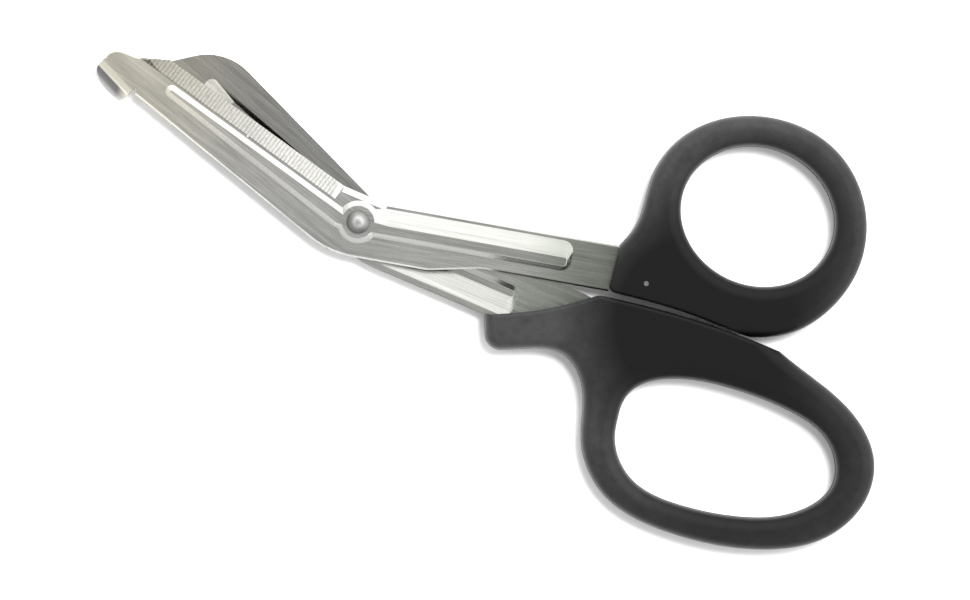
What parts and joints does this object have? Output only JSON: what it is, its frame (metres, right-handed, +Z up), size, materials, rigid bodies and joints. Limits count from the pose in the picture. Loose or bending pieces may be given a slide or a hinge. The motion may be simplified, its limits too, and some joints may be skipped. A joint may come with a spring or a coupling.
{
  "type": "bandage scissors",
  "caption": "Bandage scissors: angled, fluted steel blades with a serrated edge and a blunt folded foot, riveted, with black moulded ring handles.",
  "frame": {"origin": "under the middle of the closed scissors' bounding box, on the surface that they lie on", "axes": "+X along the scissors from the foot to the handles, +Y towards the thumb ring, +Z up out of the lower blade's outer face, along the pivot rivet"},
  "size_m": [0.1846, 0.0894, 0.009],
  "materials": {
    "blade_steel": "stamped and satin-polished stainless steel",
    "rivet_steel": "polished domed steel rivet",
    "handle_plastic": "satin black moulded plastic"
  },
  "bodies": {
    "finger_half": {"upper_blade": "blade_steel", "finger_handle": "handle_plastic", "pivot_rivet": "rivet_steel"},
    "thumb_half": {"lower_blade": "blade_steel", "thumb_handle": "handle_plastic"}
  },
  "joints": [
    {"name": "pivot", "type": "hinge", "parent": "finger_half", "child": "thumb_half", "pos_m": [-0.02878, -0.01075, 0.0045], "axis": [0, 0, 1], "range_deg": [0, 60]}
  ]
}
